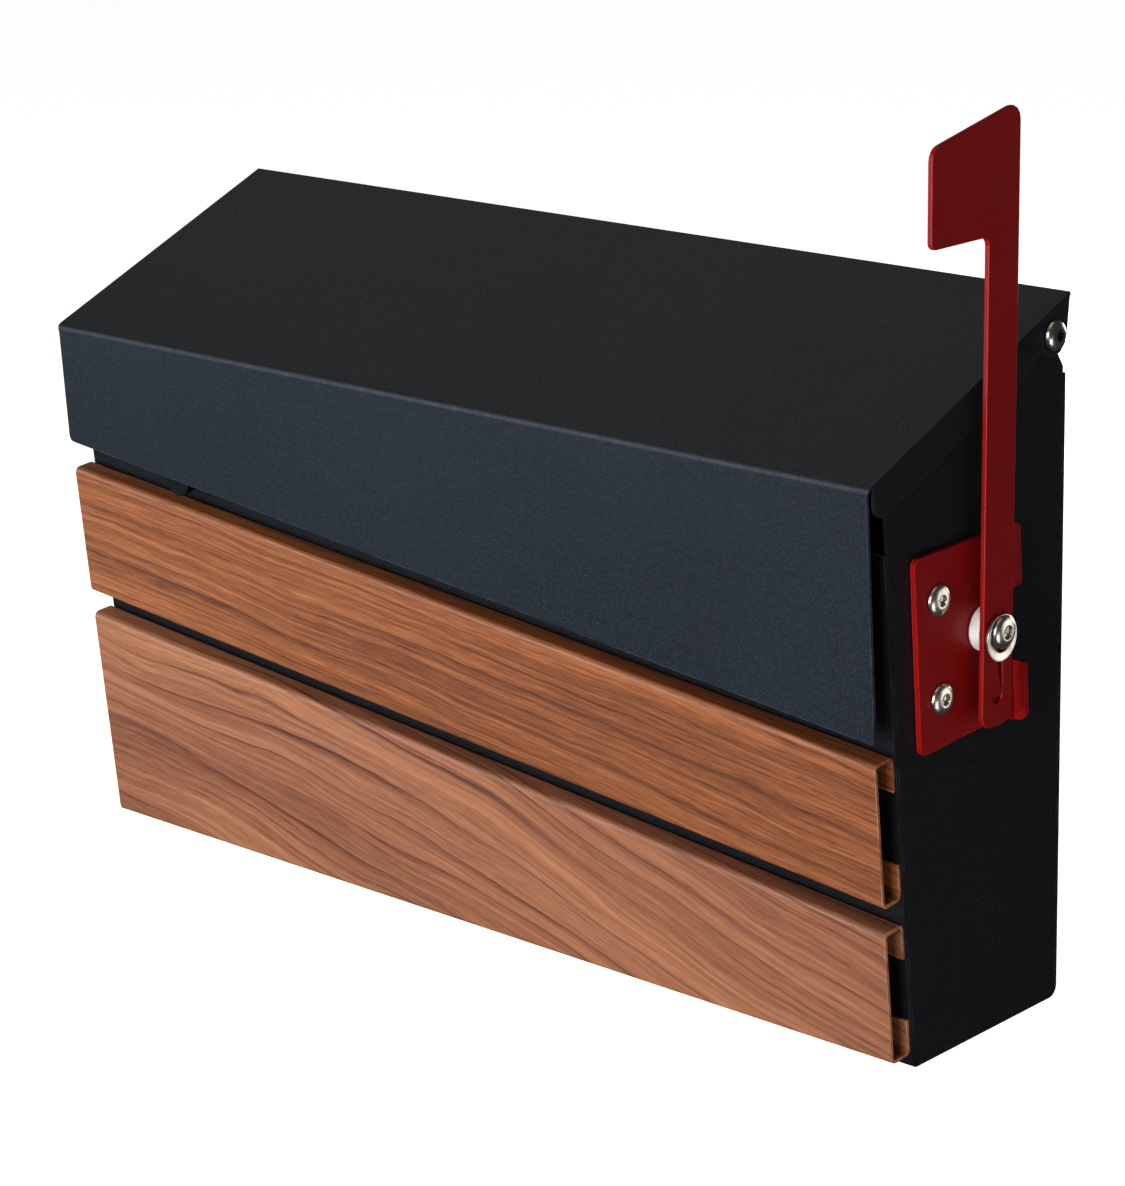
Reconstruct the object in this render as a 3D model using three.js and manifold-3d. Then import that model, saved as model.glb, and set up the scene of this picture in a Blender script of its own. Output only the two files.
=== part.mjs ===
// Wall mounted mailbox in folded sheet steel, with a swinging lid and a signal flag.
// Millimetres. X runs across the front, +Y points into the wall, +Z is up.
// The origin is on the wall plane, at the middle of the mailbox's width, level with its floor.

import * as THREE from 'three';
import { mergeVertices } from 'three/addons/utils/BufferGeometryUtils.js';
import Module from 'manifold-3d';

const wasm = await Module();
wasm.setup();

// ---- Driving dimensions ----------------------------------------------------------------

// Body
const bodyWidth = 400;
const bodyDepth = 84; // at the floor
const frontLean = 5; // degrees that the front wall leans out towards the top
const sheet = 1.2;
const frontWallHeight = 186;
const footBend = 2.6;
const heelBend = 4;
const sideFlange = 12;
const seamGap = 0.35; // between sheets that lie on each other

// Lid
const foldHeight = 211; // roof and lip meet here
const lipStandOff = 8.3; // lip ahead of the front wall at the fold
const lipLean = 2.7; // degrees
const lipBottomLeft = 164;
const lipBottomRight = 123;
const lipCorner = 2.4;
const lipInset = 0.8; // lip end inside the cheek's outer face
const roofRearHeight = 257;
const roofRearInset = 0.5; // rear edge ahead of the back wall's rear face
const foldBend = 2.8;
const cheekHeight = 14;
const cheekGap = 0.5; // cheek to side panel
const lidOpenAngle = 100; // degrees

// Lid hinge
const hingeInset = 9.5; // axis ahead of the back wall's rear face
const hingeHeight = 243.5;
const earRadius = 7.5;
const hingeScrewRadius = 2.5;
const hingeHeadRadius = 5.4;
const hingeHeadHeight = 2.4;
const lidSwingGap = 0.9; // between the lid's rear edge and the back wall's top edge
const sideCornerGap = 0.6; // between the side panels' rounded rear corner and the roof's underside
const lidSwingMargin = 10; // degrees between the open lid and the side panels' rear corner

// Wood-look panels, folded from sheet
const panelWidth = 399.2;
const panelDepth = 10.2;
const panelLip = 13;
const panelBend = 2.2;
const panelDrop = 38; // fall of the slanted edges across the width
const upperPanelTop = 135.5; // middle of the slanted edge
const upperPanelHeight = 52.6;
const panelSpacing = 8.9;
const lowerPanelBottom = 5.8;
const panelScrewRadius = 1.9;
const panelScrewEnd = 34; // outer screws from the panel's ends

// Flag and its bracket
const flagPivotFromFront = 34; // behind the front wall's foot
const flagPivotHeight = 150.5;
const bracketSheet = 2;
const bracketFront = 35; // all from the pivot
const bracketRear = 23.5;
const bracketTop = 33.7; // at the front
const bracketTopFall = 2.9; // towards the rear
const bracketBottom = 35.7;
const bracketCorner = 2.8;
const bracketLean = 3.5; // degrees, top towards the front, nearly in line with the front wall
const notchTop = 8.5;
const notchBottom = 17.3; // the tab's top
const notchRear = 9;
const tabRear = 19.2;
const tabBottom = 39;
const tabGap = 0.5; // tab to the flag's inside face
const bracketScrewForward = 23.5;
const bracketScrewUp = 16.6;
const bracketScrewDown = 18.5;
const flagSheet = 2;
const flagArmWidth = 16.4;
const flagTail = 33.7;
const flagTop = 177.7; // rear corner
const flagTopSlant = 10.1;
const flagHeadReach = 39; // front edge of the head
const flagHeadBottom = 135;
const flagCorner = 5;
const flagNotchFillet = 3;
const flagSlotBottom = 23;
const flagLean = 0.5; // degrees towards the wall when raised
const spacerRadius = 8;
const spacerLength = 4.7;
const flagWasherRadius = 8.3;
const flagWasherBore = 5.2;
const flagWasherThickness = 1.4;
const flagWasherDrop = 2.3; // the loose washer hangs on the bolt
const boltRadius = 2.5;
const boltHeadRadius = 5.8;
const boltHeadHeight = 2.1;
const smallHeadRadius = 5.6;
const smallHeadHeight = 2.1;

// Fits
const holeClearance = 0.35; // on the radius, round a screw's shank
const faceGap = 0.35; // between touching faces

// Nuts
const nutAcross = 8; // flat to flat
const nutHeight = 4;

// Rubber parts
const wallSwingGap = 1.3; // left to the wall behind the lid's rear edge as it swings
const wallSpacerRadius = 11;
const wallSpacerBore = 3.5;
const wallHoleInset = 40; // from the body's ends
const wallHoleUpper = 205;
const wallHoleLower = 28;
const bumperRadius = 6;
const bumperTipRadius = 4.6;
const bumperInset = 60; // from the body's ends
const bumperLeftRise = -0.9; // above the lip's edge
const bumperRightRise = 10;

// Drain holes in the floor
const drainRadius = 3;
const drainInset = 60;

// ---- Places worked out from them -------------------------------------------------------

const lean = THREE.MathUtils.degToRad(frontLean);
const leanOfLip = THREE.MathUtils.degToRad(lipLean);
const rearEdgeSwing = Math.hypot(hingeInset - roofRearInset, roofRearHeight - hingeHeight);
const wallGap = rearEdgeSwing - hingeInset + wallSwingGap;
const backFace = -wallGap;
const frontFoot = backFace - bodyDepth;
const halfBody = bodyWidth / 2;
const frontFaceAt = (z) => frontFoot - z * Math.tan(lean);

const cheekInner = halfBody + cheekGap;
const cheekOuter = cheekInner + sheet;
const halfLip = cheekOuter - lipInset;
const foldY = frontFaceAt(foldHeight) - lipStandOff;
const lipFaceAt = (z) => foldY + (foldHeight - z) * Math.tan(leanOfLip);
const lipBottomAt = (x) => lipBottomLeft + (lipBottomRight - lipBottomLeft) * (x + halfLip) / (2 * halfLip);
const roofRearY = backFace - roofRearInset;
const roofAngle = Math.atan2(roofRearHeight - foldHeight, roofRearY - foldY);
const roofAt = (y) => foldHeight + (y - foldY) * Math.tan(roofAngle);
const hinge = new THREE.Vector2(backFace - hingeInset, hingeHeight);
const sheetDown = sheet / Math.cos(roofAngle); // the roof's thickness, measured straight down

const flagPivot = new THREE.Vector2(frontFoot + flagPivotFromFront, flagPivotHeight);
const bracketInner = halfBody + faceGap;
const bracketOuter = bracketInner + bracketSheet;
const flagInner = bracketOuter + spacerLength + faceGap;
const flagOuter = flagInner + flagSheet;
const sideInner = halfBody - sheet;

// ---- Materials -------------------------------------------------------------------------

const blackPowder = new THREE.MeshStandardMaterial({ color: 0x1c1d1f, roughness: 0.55, metalness: 0.2 });
const blueBlackPowder = new THREE.MeshStandardMaterial({ color: 0x2a3038, roughness: 0.5, metalness: 0.2 });
const walnut = new THREE.MeshStandardMaterial({ color: 0x9a5f3d, roughness: 0.5, metalness: 0 });
const redPowder = new THREE.MeshStandardMaterial({ color: 0x9c1218, roughness: 0.45, metalness: 0.1 });
const steel = new THREE.MeshStandardMaterial({ color: 0xb9b4aa, roughness: 0.3, metalness: 1 });
const nylon = new THREE.MeshStandardMaterial({ color: 0xe9e8e4, roughness: 0.6, metalness: 0 });
const rubber = new THREE.MeshStandardMaterial({ color: 0x101010, roughness: 0.85, metalness: 0 });

// ---- Shape helpers ---------------------------------------------------------------------

// A polygon whose corners [a, b, radius] are rounded where a radius is given.
function roundedOutline(corners, steps = 4) {
  const points = [];
  corners.forEach(([a, b, radius = 0], i) => {
    const here = new THREE.Vector2(a, b);
    if (radius === 0) {
      points.push(here);
      return;
    }
    const before = corners[(i + corners.length - 1) % corners.length];
    const after = corners[(i + 1) % corners.length];
    const back = new THREE.Vector2(before[0], before[1]).sub(here).normalize();
    const on = new THREE.Vector2(after[0], after[1]).sub(here).normalize();
    const half = Math.acos(back.dot(on)) / 2;
    const start = here.clone().addScaledVector(back, radius / Math.tan(half));
    const centre = here.clone().addScaledVector(back.clone().add(on).normalize(), radius / Math.sin(half));
    const from = start.clone().sub(centre);
    const sweep = (Math.PI - 2 * half) * Math.sign(back.cross(on)) * -1;
    for (let k = 0; k <= steps; k += 1) {
      points.push(centre.clone().add(from.clone().rotateAround(new THREE.Vector2(), sweep * k / steps)));
    }
  });
  return points;
}

// The section of a folded sheet: its outer face follows the corners, and its thickness lies
// to the left of that path, or to the right of it with side = -1.
function foldedSection(corners, thickness, side = 1) {
  const closed = roundedOutline([...corners, [corners[0][0], corners[0][1]]], 4);
  const outer = closed.slice(0, -1);
  const inner = outer.map((point, i) => {
    const before = outer[Math.max(i - 1, 0)];
    const after = outer[Math.min(i + 1, outer.length - 1)];
    const a = point.clone().sub(before);
    const b = after.clone().sub(point);
    const into = i === 0 ? b : a;
    const out = i === outer.length - 1 ? a : b;
    const normalIn = new THREE.Vector2(-into.y, into.x).normalize();
    const normalOut = new THREE.Vector2(-out.y, out.x).normalize();
    const mitre = normalIn.add(normalOut).normalize();
    const stretch = 1 / mitre.dot(normalOut);
    return point.clone().addScaledVector(mitre, side * thickness * stretch);
  });
  return [...outer, ...inner.reverse()];
}

function extrude(points, depth, holes = []) {
  const shape = new THREE.Shape(points);
  holes.forEach((hole) => shape.holes.push(new THREE.Path(hole)));
  return new THREE.ExtrudeGeometry(shape, { depth, bevelEnabled: false, steps: 1 });
}

// Extruded outlines, given as (y, z) points between two x, or (x, z) points between two y.
const alongX = new THREE.Matrix4().makeBasis(
  new THREE.Vector3(0, 1, 0),
  new THREE.Vector3(0, 0, 1),
  new THREE.Vector3(1, 0, 0),
);
const alongY = new THREE.Matrix4().makeBasis(
  new THREE.Vector3(1, 0, 0),
  new THREE.Vector3(0, 0, 1),
  new THREE.Vector3(0, -1, 0),
);

function slabX(points, x0, x1, holes = []) {
  return extrude(points, x1 - x0, holes).applyMatrix4(alongX).translate(x0, 0, 0);
}

function slabY(points, y0, y1) {
  return extrude(points, y1 - y0).applyMatrix4(alongY).translate(0, y1, 0);
}

function circle(cx, cy, radius, steps = 20) {
  return Array.from({ length: steps }, (_, k) => {
    const angle = 2 * Math.PI * k / steps;
    return new THREE.Vector2(cx + radius * Math.cos(angle), cy + radius * Math.sin(angle));
  });
}

function rodX(radius, x0, x1, y, z, steps = 20) {
  const geometry = new THREE.CylinderGeometry(radius, radius, x1 - x0, steps);
  return geometry.rotateZ(-Math.PI / 2).translate((x0 + x1) / 2, y, z);
}

function rodY(radius, y0, y1, x, z, steps = 20) {
  return new THREE.CylinderGeometry(radius, radius, y1 - y0, steps).translate(x, (y0 + y1) / 2, z);
}

function box(low, high) {
  const size = high.map((value, i) => value - low[i]);
  return new THREE.BoxGeometry(...size).translate(...low.map((value, i) => value + size[i] / 2));
}

// Solids for joining and cutting, and back again to a geometry.
function solid(geometry) {
  const bare = geometry.clone();
  bare.deleteAttribute('normal');
  bare.deleteAttribute('uv');
  const merged = mergeVertices(bare, 1e-4);
  return new wasm.Manifold(new wasm.Mesh({
    numProp: 3,
    vertProperties: new Float32Array(merged.attributes.position.array),
    triVerts: new Uint32Array(merged.index.array),
  }));
}

function geometryOf(manifold) {
  const mesh = manifold.getMesh();
  const geometry = new THREE.BufferGeometry();
  geometry.setAttribute('position', new THREE.BufferAttribute(new Float32Array(mesh.vertProperties), 3));
  geometry.setIndex(new THREE.BufferAttribute(new Uint32Array(mesh.triVerts), 1));
  geometry.computeVertexNormals();
  return geometry;
}

function cut(geometry, cutters) {
  const result = cutters.reduce((body, cutter) => body.subtract(solid(cutter)), solid(geometry));
  return geometryOf(result);
}

function join(geometries) {
  const [first, ...rest] = geometries.map(solid);
  return geometryOf(rest.reduce((body, next) => body.add(next), first));
}

function keep(geometry, region) {
  return geometryOf(solid(geometry).intersect(solid(region)));
}

const mailbox = new THREE.Group();

function piece(name, geometry, material, parent = mailbox) {
  const mesh = new THREE.Mesh(geometry, material);
  mesh.name = name;
  parent.add(mesh);
  return mesh;
}

// ---- Fasteners -------------------------------------------------------------------------

// A button-head screw along +X: the head's underside is at x = 0 and its shank runs to -length.
function buttonScrew(headRadius, headHeight, shankRadius, length, socket) {
  const dome = [1, 0.92, 0.74, 0.5].map((share, k) => (
    new THREE.Vector2(headRadius * share, headHeight * [0.25, 0.62, 0.88, 1][k])
  ));
  const profile = [
    new THREE.Vector2(0, -length),
    new THREE.Vector2(shankRadius, -length),
    new THREE.Vector2(shankRadius, 0),
    new THREE.Vector2(headRadius, 0),
    ...dome,
    new THREE.Vector2(0, headHeight),
  ];
  const screw = new THREE.LatheGeometry(profile, 20).rotateZ(-Math.PI / 2);
  const socketRadius = socket / Math.sqrt(3);
  const recess = rodX(socketRadius, headHeight * 0.35, headHeight + 1, 0, 0, 6);
  return cut(screw, [recess]);
}

// A hexagon nut along X between x = 0 and x = nutHeight.
function nut(boltRadiusInside) {
  const hexagon = circle(0, 0, nutAcross / Math.sqrt(3), 6);
  return slabX(hexagon, 0, nutHeight, [circle(0, 0, boltRadiusInside + holeClearance, 20)]);
}

// ---- Body: a wrap of front wall, floor and back wall between two side panels ------------

const backWallTop = hingeHeight - Math.sqrt(
  (rearEdgeSwing + lidSwingGap) ** 2 - (hingeInset - sheet) ** 2,
);
const wallHoles = [wallHoleUpper, wallHoleLower].flatMap((z) => (
  [-1, 1].map((side) => [side * (halfBody - wallHoleInset), z])
));
const wrapSection = foldedSection([
  [frontFaceAt(frontWallHeight), frontWallHeight],
  [frontFoot, 0, footBend],
  [backFace, 0, heelBend],
  [backFace, backWallTop],
], sheet);
const drains = [-1, 1].flatMap((side) => [0.3, 0.7].map((share) => {
  const y = backFace - bodyDepth * share;
  return new THREE.CylinderGeometry(drainRadius, drainRadius, 10, 16)
    .rotateX(Math.PI / 2)
    .translate(side * (halfBody - drainInset), y, 0);
}));

const panelPlane = new THREE.Group();
panelPlane.position.set(0, frontFoot, 0);
panelPlane.rotation.x = lean;
panelPlane.updateMatrix();

// ---- Wood-look panels: channels whose slanted edges fall from left to right --------------

const panelSlope = panelDrop / panelWidth;
const upperPanelBottom = upperPanelTop - upperPanelHeight;
const lowerPanelTop = upperPanelBottom - panelSpacing;
const halfPanel = panelWidth / 2;

// The panel's own frame: x across, y into the body, z up its leaning front.
function channel(bottom, top, bottomSlope) {
  const face = -(faceGap + panelDepth);
  const section = foldedSection([
    [-faceGap, top - panelLip],
    [-faceGap, top, panelBend],
    [face, top, panelBend],
    [face, bottom, panelBend],
    [-faceGap, bottom, panelBend],
    [-faceGap, bottom + panelLip],
  ], sheet);
  const geometry = slabX(section, -halfPanel, halfPanel);
  const position = geometry.attributes.position;
  const middle = (bottom + top) / 2;
  for (let i = 0; i < position.count; i += 1) {
    const slope = position.getZ(i) > middle ? panelSlope : bottomSlope;
    position.setZ(i, position.getZ(i) - slope * position.getX(i));
  }
  geometry.computeVertexNormals();
  return geometry;
}

const panelScrewX = [-1, 1].map((side) => side * (halfPanel - panelScrewEnd));
const lipMiddle = sheet + (panelLip - sheet) / 2;
const panelScrews = [
  { name: 'upper_panel_screw_top', edge: upperPanelTop, inward: -1, slope: panelSlope },
  { name: 'upper_panel_screw_bottom', edge: upperPanelBottom, inward: 1, slope: panelSlope },
  { name: 'lower_panel_screw_top', edge: lowerPanelTop, inward: -1, slope: panelSlope },
  { name: 'lower_panel_screw_bottom', edge: lowerPanelBottom, inward: 1, slope: 0 },
].flatMap(({ name, edge, inward, slope }) => panelScrewX.map((x) => ({
  name: `${name}_${x < 0 ? 'left' : 'right'}`,
  x,
  z: edge + inward * lipMiddle - slope * x,
})));
const screwHole = panelScrewRadius + holeClearance;

function panelWithHoles(geometry) {
  return cut(geometry, panelScrews.map(({ x, z }) => rodY(screwHole, -4, 4, x, z, 16)));
}

const upperChannel = channel(upperPanelBottom, upperPanelTop, panelSlope);
const lowerChannel = channel(lowerPanelBottom, lowerPanelTop, 0);
piece('upper_panel', panelWithHoles(upperChannel), walnut, panelPlane);
piece('lower_panel', panelWithHoles(lowerChannel), walnut, panelPlane);

// Each screw is put in from inside the body, through the front wall, into the panel's lip.
const panelScrewReach = sheet + 2 * faceGap + sheet + 2.2;
panelScrews.forEach(({ name, x, z }) => {
  const geometry = buttonScrew(3.6, 2, panelScrewRadius, panelScrewReach, 2.4).rotateZ(Math.PI / 2);
  piece(name, geometry, steel, panelPlane).position.set(x, sheet + faceGap, z);
});

const wrapHoles = panelScrews.map(({ x, z }) => (
  rodY(screwHole, -6, 6, x, z, 16).applyMatrix4(panelPlane.matrix)
));
const wallHoleCutters = () => wallHoles.map(([x, z]) => (
  rodY(wallSpacerBore, backFace - 6, backFace + 6, x, z, 20)
));
const wrap = slabX(wrapSection, -halfBody, halfBody);
piece('body_wrap', cut(wrap, [...drains, ...wrapHoles, ...wallHoleCutters()]), blackPowder);

// ---- Side panels: pans whose flanges lie inside the wrap ---------------------------------

const insetEdge = sheet + seamGap;
const sideTopDrop = sheetDown + 2.8; // top edge below the roof's upper face
const sideTopAt = (y) => roofAt(y) - sideTopDrop;
const insideFrontAt = (z) => frontFaceAt(z) + insetEdge / Math.cos(lean);
const sideFrontTop = (() => {
  const rise = Math.tan(roofAngle);
  const run = Math.tan(lean);
  const start = frontFoot + insetEdge / Math.cos(lean);
  return (sideTopAt(start)) / (1 + rise * run);
})();

// Rear top corner: round the hinge, then down a cut that leaves the lid's rear edge room to swing.
const hingeUnderRoof = (roofAt(hinge.x) - hinge.y) * Math.cos(roofAngle) - sheet;
const cornerRadius = hingeUnderRoof - sideCornerGap;
const roofRearInner = new THREE.Vector2(
  roofRearY + sheet * Math.sin(roofAngle) - hinge.x,
  roofRearHeight - sheet * Math.cos(roofAngle) - hinge.y,
);
const cutAngle = roofRearInner.angle() - THREE.MathUtils.degToRad(lidOpenAngle + lidSwingMargin);
const arcStart = Math.PI / 2 + roofAngle;
const arcSteps = 7;
const hingeArc = Array.from({ length: arcSteps + 1 }, (_, k) => {
  const angle = arcStart + (cutAngle - arcStart) * k / arcSteps;
  return [hinge.x + cornerRadius * Math.cos(angle), hinge.y + cornerRadius * Math.sin(angle)];
});
const sideBack = backFace - insetEdge;
const cutFoot = hinge.y + (sideBack - hinge.x) * Math.tan(cutAngle);
const sideOutline = roundedOutline([
  [insideFrontAt(insetEdge), insetEdge, 2],
  [sideBack, insetEdge, 3],
  [sideBack, cutFoot],
  ...hingeArc.reverse(),
  [insideFrontAt(sideFrontTop), sideFrontTop, 3],
]);

function sidePanel(side, holes) {
  const x0 = side > 0 ? sideInner : -halfBody;
  const plate = slabX(sideOutline, x0, x0 + sheet, holes);
  const flangeOf = (corners, turn) => {
    const section = foldedSection(corners, sheet, turn);
    const low = side > 0 ? halfBody - sheet - sideFlange : -halfBody + sheet / 2;
    return slabX(section, low, low + sideFlange + sheet / 2);
  };
  const flange = flangeOf([
    [insideFrontAt(frontWallHeight - 4), frontWallHeight - 4],
    [insideFrontAt(insetEdge), insetEdge, 2],
    [sideBack, insetEdge, 3],
    [sideBack, backWallTop - 4],
  ], 1);
  return cut(join([plate, flange]), wallHoleCutters());
}

const hingeHole = circle(hinge.x, hinge.y, hingeScrewRadius + holeClearance);
const leanOfBracket = THREE.MathUtils.degToRad(bracketLean);
const bracketScrews = [['upper', bracketScrewUp], ['lower', -bracketScrewDown]].map(([name, z]) => {
  const local = new THREE.Vector2(-bracketScrewForward, z);
  const place = local.clone().rotateAround(new THREE.Vector2(), leanOfBracket).add(flagPivot);
  return { name, local, place };
});
const boltHole = boltRadius + holeClearance;
const bracketHoles = bracketScrews.map(({ place }) => circle(place.x, place.y, boltHole));
const flagHole = circle(flagPivot.x, flagPivot.y, boltHole);

piece('side_panel_left', sidePanel(-1, [hingeHole]), blackPowder);
piece('side_panel_right', sidePanel(1, [hingeHole, flagHole, ...bracketHoles]), blackPowder);

// ---- Lid: roof, slanted front lip and two cheeks, folded from one sheet ------------------

const lipFoot = Math.min(lipBottomLeft, lipBottomRight) - 10;
const lidSection = foldedSection([
  [lipFaceAt(lipFoot), lipFoot],
  [foldY, foldHeight, foldBend],
  [roofRearY, roofRearHeight],
], sheet, -1);
const trimTop = roofRearHeight + 20;
const lipOutline = roundedOutline([
  [-halfLip, lipBottomAt(-halfLip), lipCorner],
  [halfLip, lipBottomAt(halfLip), lipCorner / 2],
  [halfLip, foldHeight - foldBend],
  [cheekOuter, foldHeight],
  [cheekOuter, trimTop],
  [-cheekOuter, trimTop],
  [-cheekOuter, foldHeight],
  [-halfLip, foldHeight - foldBend],
]);
const lidSheet = keep(
  slabX(lidSection, -cheekOuter - 1, cheekOuter + 1),
  slabY(lipOutline, foldY - 20, backFace + 20),
);

const cheekFront = lipFaceAt(foldHeight - cheekHeight / 2) + sheet + 1.4;
const earArc = [0, -30, -60, -90, -120, -150].map((degrees) => {
  const angle = THREE.MathUtils.degToRad(degrees);
  return [hinge.x + earRadius * Math.cos(angle), hinge.y + earRadius * Math.sin(angle)];
});
const underRoof = (y) => roofAt(y) - sheetDown / 2;
const cheekOutline = roundedOutline([
  [cheekFront, underRoof(cheekFront)],
  [cheekFront + 0.6, underRoof(cheekFront) - cheekHeight, 5],
  [hinge.x - 16, underRoof(hinge.x - 16) - cheekHeight, 4],
  ...earArc.reverse(),
  [roofRearY, underRoof(roofRearY)],
]);
const cheeks = [-1, 1].map((side) => {
  const x0 = side > 0 ? cheekInner : -cheekOuter;
  return slabX(cheekOutline, x0, x0 + sheet, [hingeHole]);
});
piece('lid', join([lidSheet, ...cheeks]), blueBlackPowder);

[['left', -1], ['right', 1]].forEach(([name, side]) => {
  const reach = sheet + cheekGap + sheet + nutHeight + 2 * faceGap + 1;
  const screw = buttonScrew(hingeHeadRadius, hingeHeadHeight, hingeScrewRadius, reach, 3);
  if (side < 0) screw.rotateZ(Math.PI);
  piece(`lid_hinge_screw_${name}`, screw, steel)
    .position.set(side * (cheekOuter + faceGap), hinge.x, hinge.y);
  const nutLow = side > 0 ? sideInner - faceGap - nutHeight : -sideInner + faceGap;
  piece(`lid_hinge_nut_${name}`, nut(hingeScrewRadius), steel).position.set(nutLow, hinge.x, hinge.y);
});

// ---- Rubber bumpers on the back of the lip ----------------------------------------------

[['left', -1, bumperLeftRise], ['right', 1, bumperRightRise]].forEach(([name, side, rise]) => {
  const x = side * (halfBody - bumperInset);
  const z = lipBottomAt(x) + rise;
  const lipBack = lipFaceAt(z - bumperRadius) + sheet / Math.cos(leanOfLip) + faceGap;
  const length = frontFaceAt(z + bumperRadius) - lipBack - faceGap;
  const geometry = new THREE.CylinderGeometry(bumperTipRadius, bumperRadius, length, 24);
  piece(`lid_bumper_${name}`, geometry, rubber).position.set(x, lipBack + length / 2, z);
});

// ---- Flag bracket: a screwed plate with a tab bent out beside the flag ------------------

// The bracket's own frame has the flag's pivot at its origin, y towards the wall and z up.
const plateOutline = roundedOutline([
  [-bracketFront, -bracketBottom, bracketCorner],
  [notchRear, -bracketBottom, 2],
  [tabRear - 3, -tabBottom, 2],
  [tabRear, -tabBottom],
  [tabRear, -notchBottom],
  [notchRear, -notchBottom, 2],
  [notchRear, notchTop, 2],
  [bracketRear, notchTop, 1.5],
  [bracketRear, bracketTop - bracketTopFall, bracketCorner],
  [-bracketFront, bracketTop, bracketCorner],
]);
const plateHoles = [
  circle(0, 0, boltHole),
  ...bracketScrews.map(({ local }) => circle(local.x, local.y, boltHole)),
];
const plate = slabX(plateOutline, bracketInner, bracketOuter, plateHoles);
const tabEnd = flagInner - tabGap;
const tabOutline = roundedOutline([
  [bracketInner, -tabBottom],
  [tabEnd, -tabBottom, 3],
  [tabEnd, -notchBottom, 1],
  [bracketInner, -notchBottom],
]);
const tab = slabY(tabOutline, tabRear - bracketSheet, tabRear);
const bracket = piece('flag_bracket', join([plate, tab]), redPowder);
bracket.position.set(0, flagPivot.x, flagPivot.y);
bracket.rotation.x = leanOfBracket;

bracketScrews.forEach(({ name, place }) => {
  const reach = bracketOuter + faceGap - sideInner + faceGap + nutHeight + 1;
  const screw = buttonScrew(smallHeadRadius, smallHeadHeight, boltRadius, reach, 3.5);
  piece(`bracket_screw_${name}`, screw, steel)
    .position.set(bracketOuter + faceGap, place.x, place.y);
  piece(`bracket_nut_${name}`, nut(boltRadius), steel)
    .position.set(sideInner - faceGap - nutHeight, place.x, place.y);
});

// ---- Flag on its pivot bolt -------------------------------------------------------------

const ring = (outer, inner, x0, x1, y, z) => (
  slabX(circle(y, z, outer, 28), x0, x1, [circle(y, z, inner, 20)])
);
piece(
  'flag_spacer',
  ring(spacerRadius, boltHole, bracketOuter + faceGap, flagInner - faceGap, flagPivot.x, flagPivot.y),
  nylon,
);
const washerInner = flagOuter + faceGap;
const washerOuter = washerInner + flagWasherThickness;
const washerHeight = flagPivot.y - flagWasherDrop;
piece(
  'flag_washer',
  ring(flagWasherRadius, flagWasherBore, washerInner, washerOuter, flagPivot.x, washerHeight),
  steel,
);
const boltUnderHead = washerOuter + faceGap;
const boltReach = boltUnderHead - sideInner + faceGap + nutHeight + 1.5;
piece('flag_pivot_bolt', buttonScrew(boltHeadRadius, boltHeadHeight, boltRadius, boltReach, 4), steel)
  .position.set(boltUnderHead, flagPivot.x, flagPivot.y);
piece('flag_lock_nut', nut(boltRadius), steel)
  .position.set(sideInner - faceGap - nutHeight, flagPivot.x, flagPivot.y);

// The flag's own frame has the pivot at its origin, y towards the wall and z up its arm.
const halfArm = flagArmWidth / 2;
const flagOutline = roundedOutline([
  [-halfArm, -flagTail, flagCorner],
  [halfArm, -flagTail, flagCorner],
  [halfArm, flagTop, flagCorner],
  [-flagHeadReach, flagTop - flagTopSlant, flagCorner],
  [-flagHeadReach, flagHeadBottom, 2.5],
  [-halfArm, flagHeadBottom, flagNotchFillet],
]);
const slot = [
  ...circle(0, 0, boltHole, 16).filter((point) => point.y >= -0.001),
  ...circle(0, -flagSlotBottom, boltHole, 16).filter((point) => point.y <= -flagSlotBottom + 0.001),
];
const flag = piece('flag', slabX(flagOutline, 0, flagSheet, [slot]), redPowder);
flag.position.set(flagInner, flagPivot.x, flagPivot.y);
flag.rotation.x = -THREE.MathUtils.degToRad(flagLean);

// ---- Rubber spacers round the four wall screws ------------------------------------------

wallHoles.forEach(([x, z]) => {
  const name = `wall_spacer_${z === wallHoleUpper ? 'upper' : 'lower'}_${x < 0 ? 'left' : 'right'}`;
  const section = circle(0, 0, wallSpacerRadius, 28);
  const bore = circle(0, 0, wallSpacerBore, 20);
  const geometry = extrude(section, wallGap - faceGap, [bore]).applyMatrix4(alongY);
  piece(name, geometry, rubber).position.set(x, 0, z);
});

mailbox.add(panelPlane);

export default mailbox;
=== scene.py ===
# Wall mounted mailbox: folded sheet steel, a swinging lid, two wood-look panels and a signal flag.
# Metres. X runs across the front, +Y points into the wall, +Z is up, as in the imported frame.

import math

import bmesh
import bpy
from mathutils import Matrix, Vector


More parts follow.
